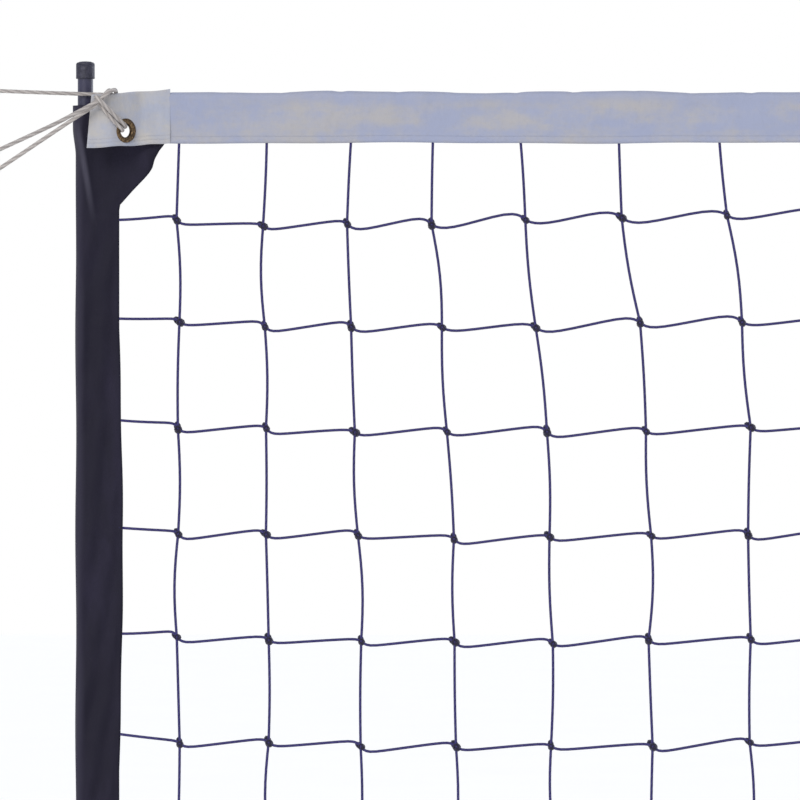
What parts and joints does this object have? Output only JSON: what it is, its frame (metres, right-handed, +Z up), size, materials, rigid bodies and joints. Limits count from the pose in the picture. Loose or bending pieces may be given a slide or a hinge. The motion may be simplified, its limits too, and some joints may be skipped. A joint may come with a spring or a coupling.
{
  "type": "volleyball net on poles",
  "caption": "Recreational volleyball net with taped top edge, pole sleeves and guy ropes, on telescoping twist-lock poles with ground spikes.",
  "frame": {"origin": "on the ground, midway between the two poles", "axes": "+X along the net, +Z up, -Y towards the side that the net and its tabs hang on"},
  "size_m": [6.4562, 0.1539, 2.4602],
  "materials": {
    "pole_coating": "satin powder coat, very dark blue-grey",
    "black_plastic": "moulded, matt",
    "grey_plastic": "moulded, matt",
    "spike_steel": "zinc plated",
    "vinyl_cap": "dip-moulded vinyl, matt",
    "sleeve_cloth": "woven polyester, black",
    "tab_webbing": "coated cloth, pale blue-grey",
    "tape_cloth": "coated cloth, off-white with a blue cast",
    "net_twine": "twisted nylon twine, navy black",
    "rope": "twisted cord, cream",
    "eyelet_brass": "aged bronze"
  },
  "bodies": {
    "root": {"left_bottom_tube": "pole_coating", "left_foot_plug": "black_plastic", "left_ground_spike": "spike_steel", "left_lower_lock_base": "black_plastic", "left_lower_lock_collet": "grey_plastic", "right_bottom_tube": "pole_coating", "right_foot_plug": "black_plastic", "right_ground_spike": "spike_steel", "right_lower_lock_base": "black_plastic", "right_lower_lock_collet": "grey_plastic"},
    "net_and_top_tubes": {"net_mesh": "net_twine", "top_tape": "tape_cloth", "headline": "rope", "bottom_hem": "sleeve_cloth", "foot_rope": "rope", "left_top_tube": "pole_coating", "left_top_guide": "grey_plastic", "left_end_cap": "vinyl_cap", "left_side_sleeve": "sleeve_cloth", "left_tape_tab": "tab_webbing", "left_eyelet_barrel": "eyelet_brass", "left_eyelet_washer": "eyelet_brass", "left_guy_hitch": "rope", "left_headline_tail": "rope", "left_headline_eye": "rope", "left_front_guy_tail": "rope", "left_front_guy_eye": "rope", "left_rear_guy_tail": "rope", "left_rear_guy_eye": "rope", "right_top_tube": "pole_coating", "right_top_guide": "grey_plastic", "right_end_cap": "vinyl_cap", "right_side_sleeve": "sleeve_cloth", "right_tape_tab": "tab_webbing", "right_eyelet_barrel": "eyelet_brass", "right_eyelet_washer": "eyelet_brass", "right_guy_hitch": "rope", "right_headline_tail": "rope", "right_headline_eye": "rope", "right_front_guy_tail": "rope", "right_front_guy_eye": "rope", "right_rear_guy_tail": "rope", "right_rear_guy_eye": "rope"},
    "left_lower_nut": {"left_lower_lock_nut": "black_plastic"},
    "left_middle": {"left_middle_tube": "pole_coating", "left_middle_guide": "grey_plastic", "left_upper_lock_base": "black_plastic", "left_upper_lock_collet": "grey_plastic"},
    "left_upper_nut": {"left_upper_lock_nut": "black_plastic"},
    "right_lower_nut": {"right_lower_lock_nut": "black_plastic"},
    "right_middle": {"right_middle_tube": "pole_coating", "right_middle_guide": "grey_plastic", "right_upper_lock_base": "black_plastic", "right_upper_lock_collet": "grey_plastic"},
    "right_upper_nut": {"right_upper_lock_nut": "black_plastic"}
  },
  "joints": [
    {"name": "net_height", "type": "slide", "parent": "root", "child": "net_and_top_tubes", "axis": [0, 0, 1], "range_m": [0, 0.19]},
    {"name": "left_middle_slide", "type": "slide", "parent": "root", "child": "left_middle", "axis": [0, 0, 1], "range_m": [0, 0.095]},
    {"name": "left_lower_lock", "type": "hinge", "parent": "root", "child": "left_lower_nut", "pos_m": [-3.05, 0, 0.78], "axis": [0, 0, 1], "range_deg": [0, 90]},
    {"name": "left_upper_lock", "type": "hinge", "parent": "left_middle", "child": "left_upper_nut", "pos_m": [-3.05, 0, 1.24], "axis": [0, 0, 1], "range_deg": [0, 90]},
    {"name": "right_middle_slide", "type": "slide", "parent": "root", "child": "right_middle", "axis": [0, 0, 1], "range_m": [0, 0.095]},
    {"name": "right_lower_lock", "type": "hinge", "parent": "root", "child": "right_lower_nut", "pos_m": [3.05, 0, 0.78], "axis": [0, 0, 1], "range_deg": [0, 90]},
    {"name": "right_upper_lock", "type": "hinge", "parent": "right_middle", "child": "right_upper_nut", "pos_m": [3.05, 0, 1.24], "axis": [0, 0, 1], "range_deg": [0, 90]}
  ],
  "couplings": [
    {"joint": "left_middle_slide", "follows": "net_height", "ratio": 0.5},
    {"joint": "right_middle_slide", "follows": "net_height", "ratio": 0.5}
  ]
}
